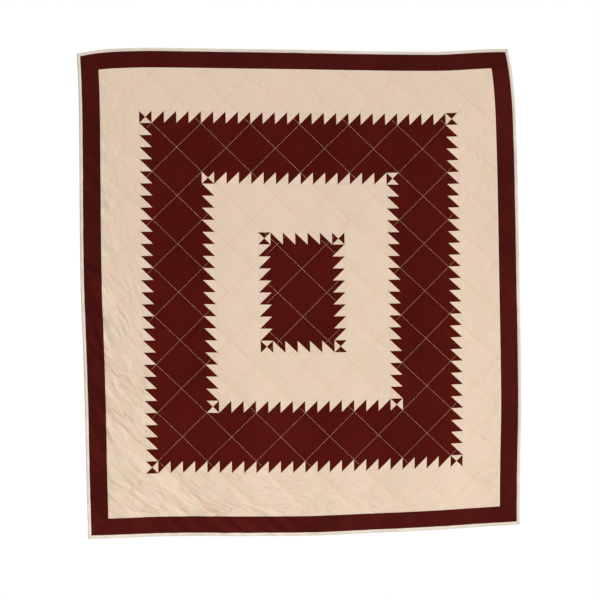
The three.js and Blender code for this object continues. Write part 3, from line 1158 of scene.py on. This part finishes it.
def stitch_shape():
    """Places along, across and above for the points of one stitch, and its triangles."""
    turn = 2 * math.pi * np.arange(STITCH_SIDES) / STITCH_SIDES + math.pi / 2
    rings = []
    for place, width, height in STITCH_RINGS:
        across = width * np.cos(turn)
        above = height * (0.35 + 0.65 * np.sin(turn))
        rings.append(np.stack([np.full(STITCH_SIDES, place), across, above], -1))
    points = np.concatenate(rings + [STITCH_TIPS])
    around = np.arange(STITCH_SIDES)
    after = (around + 1) % STITCH_SIDES
    faces = []
    for level in range(len(STITCH_RINGS) - 1):
        here, there = level * STITCH_SIDES, (level + 1) * STITCH_SIDES
        faces.append(quads_to_triangles(here + around, here + after, there + after, there + around))
    last = (len(STITCH_RINGS) - 1) * STITCH_SIDES
    tip = len(STITCH_RINGS) * STITCH_SIDES
    faces.append(np.stack([after, around, np.full(STITCH_SIDES, tip)], -1))
    faces.append(np.stack([last + around, last + after, np.full(STITCH_SIDES, tip + 1)], -1))
    return points, np.concatenate(faces)


def new_stitches(name, count, points, reverse, tones):
    """Many stitches as one piece of thread."""
    shape, template = stitch_shape()
    if reverse:
        template = template[:, ::-1]
    shift = len(shape) * np.arange(count)
    triangles = (template[None] + shift[:, None, None]).reshape(-1, 3)
    piece = new_piece(name, points.reshape(-1, 3), triangles, THREAD)
    set_point_data(piece, tone=np.repeat(tones, len(shape)))
    return piece, triangles


def lattice_stitches(slope, rng):
    """Middles of the stitches along the lines that fall (slope 1) or rise (-1)."""
    direction = np.array([1 / TOOTH_HEIGHT, -slope / TOOTH_WIDTH])
    direction = direction / np.hypot(*direction)
    normal = np.array([1 / TOOTH_WIDTH, slope / TOOTH_HEIGHT])
    across = normal / np.hypot(*normal)
    reach = QUILTED_X / TOOTH_WIDTH + QUILTED_Z / TOOTH_HEIGHT
    furthest = math.ceil(reach / LATTICE) + 1
    half = math.hypot(QUILTED_X, QUILTED_Z)
    room = np.array([QUILTED_X, QUILTED_Z]) - QUILTING_MARGIN
    found = []
    for number in range(-furthest, furthest):
        level = number * LATTICE + LATTICE / 2
        foot = normal * level / (normal @ normal)
        steps = np.arange(-half, half, STITCH_PITCH) + rng.uniform(0, STITCH_PITCH)
        steps = steps + rng.normal(0, STITCH_WANDER, len(steps))
        wobble = LINE_WOBBLE * noise(steps / (45 * MM), steps * 0 + number + 60, LINE_SEED + slope)
        points = foot + steps[:, None] * direction + wobble[:, None] * across
        found.append(points[(np.abs(points) < room).all(1)])
    return np.concatenate(found), direction


def add_quilting(name, slope, face, seed):
    """Running stitches along one family of lines, on the front (face 1) or the back (-1)."""
    rng = np.random.default_rng(seed)
    middles, direction = lattice_stitches(slope, rng)
    across = np.array([-direction[1], direction[0]])
    shape, _ = stitch_shape()
    length = STITCH_LENGTH / 2 * rng.uniform(0.9, 1.08, (len(middles), 1))
    lengthways = length * shape[:, 0]
    sideways = np.broadcast_to(STITCH_WIDTH / 2 * shape[:, 1], lengthways.shape)
    x = (middles[:, :1] + lengthways * direction[0] + sideways * across[0]).ravel()
    z = (middles[:, 1:] + lengthways * direction[1] + sideways * across[1]).ravel()
    above = np.tile(shape[:, 2], len(middles)) * STITCH_RISE
    surface = sample(FRONT if face > 0 else BACK, x, z)
    points = hang(x, z, face * (surface + above + STITCH_LIFT))
    tones = rng.uniform(-1, 1, len(middles))
    piece, triangles = new_stitches(name, len(middles), points, face < 0, tones)
    under = (above[triangles].min(1) < 0).astype(float)
    set_baking_map(piece, shell_map(np.stack([x, z], -1), triangles, under))


WHIP_PITCH = 6.5 * MM
WHIP_WIDTH = 0.9 * MM
WHIP_SEED = 31
WHIP_CORNER_ROOM = 20 * MM
WHIP_SLEEVE_ROOM = 3 * MM
BINDING_BACK = 3.2 * MM


def whip_stitches(name, starts, ends, outward):
    """Short straight stitches between pairs of points, bulging outward."""
    starts, ends, outward = map(np.concatenate, (starts, ends, outward))
    shape, _ = stitch_shape()
    middle = (starts + ends) / 2
    reach = (ends - starts) / 2
    across = np.cross(reach, outward)
    across = across / np.linalg.norm(across, axis=1)[:, None]
    points = (
        middle[:, None]
        + reach[:, None] * shape[None, :, :1]
        + across[:, None] * shape[None, :, 1:2] * WHIP_WIDTH / 2
        + outward[:, None] * shape[None, :, 2:] * STITCH_RISE
    )
    tones = np.random.default_rng(WHIP_SEED).uniform(-1, 1, len(middle))
    new_stitches(name, len(middle), points, True, tones)


def add_binding_stitches():
    """Slanted stitches that hold the binding's inner edge down on the back."""
    starts, ends, outward = [], [], []
    for side in SIDES:
        end = half_length(side) - WHIP_CORNER_ROOM
        along = np.arange(-end, end, WHIP_PITCH)
        x, z = binding_place(side, along, BINDING_WIDTH + 0.8 * MM)
        starts.append(hang(x, z, -sample(BACK, x, z) - 0.15 * MM))
        x, z = binding_place(side, along + 1.6 * MM, BINDING_WIDTH - 1.6 * MM)
        ends.append(hang(x, z, np.full(len(along), -BINDING_BACK)))
        outward.append(np.tile([0.0, 1.0, 0.0], (len(along), 1)))
    whip_stitches("binding_whip_stitches", starts, ends, outward)


def add_sleeve_stitches():
    """Slanted stitches from the backing to the sleeve, above and below it."""
    low, high = SLEEVE
    xs = np.arange(low.x + WHIP_SLEEVE_ROOM, high.x - WHIP_SLEEVE_ROOM, WHIP_PITCH)
    flat_x = xs - CENTRE.x
    starts, ends, outward = [], [], []
    for edge, away in ((high.z, 1), (low.z, -1)):
        z = np.full(len(xs), edge)
        flat_z = z - CENTRE.z
        sideways, upwards = drift(flat_x, flat_z)
        backing = CENTRE.y + sample(BACK, flat_x, flat_z) + sample(DRAPE, flat_x, flat_z)
        start_z = z + upwards + away * 1.8 * MM
        end_z = z + upwards - away * 2.4 * MM
        sleeve = np.full(len(xs), low.y + 3.4 * MM)
        starts.append(np.stack([xs + sideways, backing + 0.1 * MM, start_z], -1))
        ends.append(np.stack([xs + sideways + 1.2 * MM, sleeve, end_z], -1))
        outward.append(np.tile([0, 0.7, 0.7 * away], (len(xs), 1)))
    whip_stitches("sleeve_whip_stitches", starts, ends, outward)


# ---------------------------------------------------------------- materials


def srgb(red, green, blue):
    """A colour given from 0 to 255 as displayed, as the linear values that nodes use."""
    linear = []
    for channel in (red, green, blue):
        value = channel / 255
        linear.append(value / 12.92 if value <= 0.04045 else ((value + 0.055) / 1.055) ** 2.4)
    return (*linear, 1.0)


def feed(tree, socket, value):
    """Links an output to this input, or sets the input's own value."""
    if isinstance(value, bpy.types.NodeSocket):
        tree.links.new(value, socket)
    else:
        socket.default_value = value


def add_node(tree, kind, settings=None, **inputs):
    """A node with its settings made and its inputs linked or set. Spaces in input names are _."""
    node = tree.nodes.new(f"ShaderNode{kind}")
    for key, value in (settings or {}).items():
        setattr(node, key, value)
    for key, value in inputs.items():
        feed(tree, node.inputs[key.replace("_", " ")], value)
    return node


def scaled_coordinates(tree, scale, turn=(0, 0, 0)):
    place = add_node(tree, "TexCoord").outputs["Object"]
    return add_node(tree, "Mapping", None, Vector=place, Scale=scale, Rotation=turn).outputs[0]


def grain(tree, bumps, detail=3.0, roughness=0.5):
    """Noise from 0 to 1, with this many bumps to a metre, the same along each axis or not."""
    scale = bumps if isinstance(bumps, tuple) else (bumps, bumps, bumps)
    place = scaled_coordinates(tree, scale)
    inputs = {"Vector": place, "Scale": 1.0, "Detail": detail, "Roughness": roughness}
    return add_node(tree, "TexNoise", None, **inputs).outputs[0]


def remap(tree, value, low, high, to_low, to_high, kind="LINEAR"):
    inputs = {"Value": value, "From_Min": low, "From_Max": high, "To_Min": to_low, "To_Max": to_high}
    return add_node(tree, "MapRange", {"interpolation_type": kind}, **inputs).outputs[0]


def arithmetic(tree, operation, first, second):
    node = add_node(tree, "Math", {"operation": operation})
    feed(tree, node.inputs[0], first)
    feed(tree, node.inputs[1], second)
    return node.outputs[0]


def product(tree, *factors):
    return functools.reduce(functools.partial(arithmetic, tree, "MULTIPLY"), factors)


def blend_colors(tree, factor, first, second, mode="MIX"):
    node = add_node(tree, "Mix", {"data_type": "RGBA", "blend_type": mode})
    sockets = {socket.identifier: socket for socket in node.inputs}
    for name, value in (("Factor_Float", factor), ("A_Color", first), ("B_Color", second)):
        feed(tree, sockets[name], value)
    return next(s for s in node.outputs if s.identifier == "Result_Color")


def point_value(tree, name):
    return add_node(tree, "Attribute", {"attribute_name": name}).outputs["Fac"]


def brighten(tree, color, amount):
    """Multiplies a colour by a number."""
    return add_node(tree, "VectorMath", {"operation": "SCALE"}, Vector=color, Scale=amount).outputs[0]


YARNS_PER_METRE = 1100
WAVES_PER_UNIT = 20
WEAVE_DEPTH = 0.12 * MM


def yarns(tree, axis):
    """Ridges of one set of yarns, from 0 to 1, a little uneven."""
    kind = {"wave_type": "BANDS", "bands_direction": axis, "wave_profile": "SIN"}
    inputs = {"Distortion": 1.2, "Detail": 1.0, "Detail_Scale": 2.0}
    place = scaled_coordinates(tree, (1, 1, 1))
    scale = YARNS_PER_METRE / WAVES_PER_UNIT
    return add_node(tree, "TexWave", kind, Vector=place, Scale=scale, **inputs).outputs["Fac"]


def weave(tree):
    """Height of a plain weave: two sets of yarns, with thicker yarns here and there."""
    crossing = product(tree, yarns(tree, "X"), yarns(tree, "Z"))
    level = grain(tree, (60, 60, 1400), 2.0)
    upright = grain(tree, (1400, 60, 60), 2.0)
    slubs = arithmetic(tree, "ADD", level, upright)
    return arithmetic(tree, "ADD", crossing, slubs), slubs


FOLD_DEPTH = 1.0 * MM
# The painted shade that darkens the grooves of the fine folds.
FOLD_PAINTED_SHADE = srgb(246, 239, 231)
FOLD_WIDTH = 0.05


def fine_folds(tree):
    """Thin grooves along the folds of slack cloth, for their bump and their painted shade: 1 in a
    groove, 0 beside it.
    """
    place = add_node(tree, "Attribute", {"attribute_name": "fold_place"}).outputs["Vector"]
    inputs = {"Scale": 1.0, "Detail": 1.0, "Roughness": 0.45, "Distortion": 0.45}
    field = add_node(tree, "TexNoise", None, Vector=place, **inputs).outputs[0]
    away = arithmetic(tree, "ABSOLUTE", arithmetic(tree, "SUBTRACT", field, 0.5), 0)
    groove = remap(tree, away, 0, FOLD_WIDTH, 1, 0, "SMOOTHSTEP")
    broken = remap(tree, grain(tree, 11, 2.0), 0.42, 0.58, 0, 1)
    return product(tree, groove, broken, point_value(tree, "folded"))


SHADER_VALUES = {"Sheen Roughness": 0.45, "Specular IOR Level": 0.08, "IOR": 1.45}


def finish_cloth(tree, color, height, roughness, sheen, depth, strength, folds=None):
    """Sends the colour and the relief to a rough cloth shader with a soft sheen."""
    bump = add_node(tree, "Bump", None, Height=height, Strength=strength, Distance=depth)
    if folds is not None:
        raised = arithmetic(tree, "SUBTRACT", 1, folds)
        large = add_node(tree, "Bump", None, Height=raised, Strength=1.0, Distance=FOLD_DEPTH)
        tree.links.new(large.outputs[0], bump.inputs["Normal"])
    inputs = {
        "Base Color": color,
        "Roughness": roughness,
        "Sheen Weight": sheen,
        "Normal": bump.outputs[0],
        **SHADER_VALUES,
    }
    for name, value in inputs.items():
        feed(tree, tree.nodes["Principled BSDF"].inputs[name], value)


SOIL = srgb(255, 240, 196)
SOIL_STRENGTH = 0.12
# Each cotton's three shades, its sheen, how streaky its yarns are and how worn its high places.
COTTONS = {
    "maroon_cotton": ((75, 12, 6), (79, 14, 7), (83, 16, 9), 0.02, 0.09, 0.10),
    "faded_maroon_cotton": ((67, 14, 9), (74, 17, 12), (81, 20, 15), 0.03, 0.12, 0.16),
    "cream_cotton": ((223, 203, 178), (227, 204, 181), (230, 204, 184), 0.06, 0.03, 0.005),
    "ecru_binding": ((212, 200, 183), (222, 210, 195), (231, 221, 208), 0.10, 0.07, 0.0),
    "muslin_backing": ((218, 204, 180), (223, 210, 188), (229, 217, 197), 0.06, 0.05, 0.02),
}


def make_cotton(tree, dark, middle, light, sheen, streaky, wear):
    """Plain-woven cotton: three shades in soft patches, streaky yarns, worn high places, painted
    shade in its fold grooves.
    """
    small = grain(tree, 28, 3.0, 0.6)
    broad = product(tree, grain(tree, 5.5, 3.0, 0.55), 0.7)
    field = arithmetic(tree, "ADD", broad, product(tree, small, 0.3))
    ramp = add_node(tree, "ValToRGB", None, Fac=remap(tree, field, 0.34, 0.66, 0, 1))
    stops = ramp.color_ramp.elements
    stops[0].color = srgb(*dark)
    stops[1].color = srgb(*light)
    stops.new(0.5).color = srgb(*middle)
    height, slubs = weave(tree)
    streaks = remap(tree, slubs, 0.6, 1.4, 1 - streaky, 1 + streaky)
    worn = remap(tree, point_value(tree, "raised"), 0.2, 0.9, 1 - wear, 1 + wear / 2)
    # Each patch's tone: random, and for the outer maroon border strips also their fading and painted
    # light.
    own = remap(tree, point_value(tree, "tone"), -5, 5, 0.825, 1.175)
    soil = remap(tree, point_value(tree, "soiled"), 0, 1, 0, SOIL_STRENGTH)
    soiled = blend_colors(tree, soil, ramp.outputs[0], SOIL, "MULTIPLY")
    folds = fine_folds(tree)
    # Painted shade in the grooves of the fine folds.
    shaded = blend_colors(tree, folds, soiled, FOLD_PAINTED_SHADE, "MULTIPLY")
    color = brighten(tree, shaded, product(tree, streaks, worn, own))
    rough = remap(tree, small, 0.3, 0.7, 0.80, 0.94)
    finish_cloth(tree, color, height, rough, sheen, WEAVE_DEPTH, 0.55, folds)


def make_batting(tree):
    """Tangled cotton fibre with seed specks."""
    tangle = grain(tree, 420, 6.0, 0.7)
    specks = remap(tree, grain(tree, 160, 2.0), 0.70, 0.76, 0, 1)
    pale = blend_colors(tree, tangle, srgb(224, 216, 198), srgb(244, 239, 228))
    color = blend_colors(tree, specks, pale, srgb(150, 120, 84))
    rough = remap(tree, tangle, 0, 1, 0.9, 1.0)
    finish_cloth(tree, color, tangle, rough, 0.4, 0.8 * MM, 0.7)


def make_thread(tree):
    """Plied cotton thread, its twist running across the stitches."""
    place = scaled_coordinates(tree, (1, 1, 1), (0, math.radians(20), 0))
    kind = {"bands_direction": "DIAGONAL"}
    wave = add_node(tree, "TexWave", kind, Vector=place, Scale=60.0, Distortion=1.5)
    twist = wave.outputs["Fac"]
    plain = blend_colors(tree, grain(tree, 14, 2.0), srgb(238, 184, 150), srgb(248, 198, 166))
    shade = remap(tree, twist, 0, 1, 0.84, 1.06)
    own = remap(tree, point_value(tree, "tone"), -1, 1, 0.92, 1.08)
    color = brighten(tree, plain, product(tree, shade, own))
    rough = remap(tree, twist, 0, 1, 0.55, 0.75)
    finish_cloth(tree, color, twist, rough, 0.2, 0.15 * MM, 0.6)


def make_floor(tree):
    color = blend_colors(tree, grain(tree, 3, 4.0), srgb(240, 240, 238), srgb(250, 250, 249))
    shader = tree.nodes["Principled BSDF"]
    feed(tree, shader.inputs["Base Color"], color)
    feed(tree, shader.inputs["Roughness"], 0.9)


@functools.cache
def cloth_material(name):
    """The material of this name, made once."""
    material = bpy.data.materials.new(name)
    material.use_nodes = True
    makers = {"cotton_batting": make_batting, THREAD: make_thread, "pale_floor": make_floor}
    make = makers.get(name, make_cotton)
    make(material.node_tree, *COTTONS.get(name, ()))
    return material


# ---------------------------------------------------------------- floor, light and camera

FLOOR_DROP = 0.6
FLOOR_RADIUS = 2.5
FLOOR_SIDES = 96
CAMERA_DISTANCE = 9.0
CAMERA_DROP = 28 * MM
FRAME_WIDTH = 2.478
SENSOR = 36.0
FAR_CLIP = 100
WORLD_LIGHT = 0.34
KEY_FROM = (0.55, -0.68, 0.52)
KEY_STRENGTH = 2.45
KEY_SOFTNESS = 16
# Each soft light's place from the cover's middle height, its size and its power.
SOFT_LIGHTS = {
    "fill_light": ((2.5, -3.0, -2.0), 2.5, 30),
    "back_light": ((-2.5, 4.0, 2.0), 2.0, 150),
}


def add_floor():
    turn = 2 * math.pi * np.arange(FLOOR_SIDES) / FLOOR_SIDES
    height = CAD_BOX[0].z - FLOOR_DROP
    points = [(FLOOR_RADIUS * math.cos(t), FLOOR_RADIUS * math.sin(t), height) for t in turn]
    mesh = bpy.data.meshes.new("floor")
    mesh.from_pydata(points, [], [list(range(FLOOR_SIDES))])
    mesh.materials.append(cloth_material("pale_floor"))
    link_new("floor", mesh)


def add_world():
    """White behind everything, and a softer white as light."""
    world = bpy.data.worlds.new("studio")
    world.use_nodes = True
    bpy.context.scene.world = world
    tree = world.node_tree
    light = tree.nodes["Background"]
    light.inputs["Color"].default_value = (1, 1, 1, 1)
    light.inputs["Strength"].default_value = WORLD_LIGHT
    seen = add_node(tree, "Background", None, Color=(1, 1, 1, 1), Strength=1.0)
    path = add_node(tree, "LightPath")
    mix = add_node(tree, "MixShader", None, Fac=path.outputs["Is Camera Ray"])
    tree.links.new(light.outputs[0], mix.inputs[1])
    tree.links.new(seen.outputs[0], mix.inputs[2])
    tree.links.new(mix.outputs[0], tree.nodes["World Output"].inputs["Surface"])


def add_light(name, kind, direction, settings):
    """A light that shines this way."""
    data = bpy.data.lights.new(name, kind)
    for key, value in settings.items():
        setattr(data, key, value)
    light = link_new(name, data)
    light.rotation_euler = direction.to_track_quat("-Z", "Y").to_euler()
    return light


def add_lights():
    """A broad, even light from the front, high on the right, so that it rakes the relief, and
    soft ones for the shadows and the back."""
    sun = {"energy": KEY_STRENGTH, "angle": math.radians(KEY_SOFTNESS)}
    add_light("key_light", "SUN", -Vector(KEY_FROM), sun)
    for name, (place, size, power) in SOFT_LIGHTS.items():
        place = Vector(place) + Vector((0, 0, CENTRE.z))
        area = {"shape": "SQUARE", "size": size, "energy": power}
        light = add_light(name, "AREA", CENTRE - place, area)
        light.location = place
        light.visible_camera = False


def add_camera():
    data = bpy.data.cameras.new("camera")
    data.sensor_width = SENSOR
    data.lens = SENSOR * CAMERA_DISTANCE / FRAME_WIDTH
    data.clip_end = FAR_CLIP
    camera = link_new("camera", data)
    camera.location = CENTRE - Vector((0, CAMERA_DISTANCE, CAMERA_DROP))
    camera.rotation_euler = (math.pi / 2, 0, 0)
    bpy.context.scene.camera = camera


# ---------------------------------------------------------------- the scene

# The borders in the order that their tones are drawn.
BORDERS = {
    "middle_maroon_border": "maroon",
    "outer_maroon_border": "maroon",
    "inner_cream_border": "cream",
    "outer_cream_border": "cream",
}
QUILTING = (
    ("front_falling_stitches", 1, 1, 51),
    ("front_rising_stitches", -1, 1, 52),
    ("back_falling_stitches", 1, -1, 53),
    ("back_rising_stitches", -1, -1, 54),
)


def add_pieced_top():
    add_rectangle("centre_panel", "maroon")
    for border, color in BORDERS.items():
        for side in SIDES:
            add_rectangle(f"{border}_{side}", color)
    for ring in RINGS:
        for side in SIDES:
            add_teeth(ring, side)
        for corner in CORNERS:
            add_corner_block(ring, corner)


add_batting()
add_sleeve()
add_backing()
add_pieced_top()
for side in SIDES:
    add_binding(side)
for family in QUILTING:
    add_quilting(*family)
add_binding_stitches()
add_sleeve_stitches()

add_floor()
add_world()
add_lights()
add_camera()
bpy.context.scene.view_settings.view_transform = "Standard"
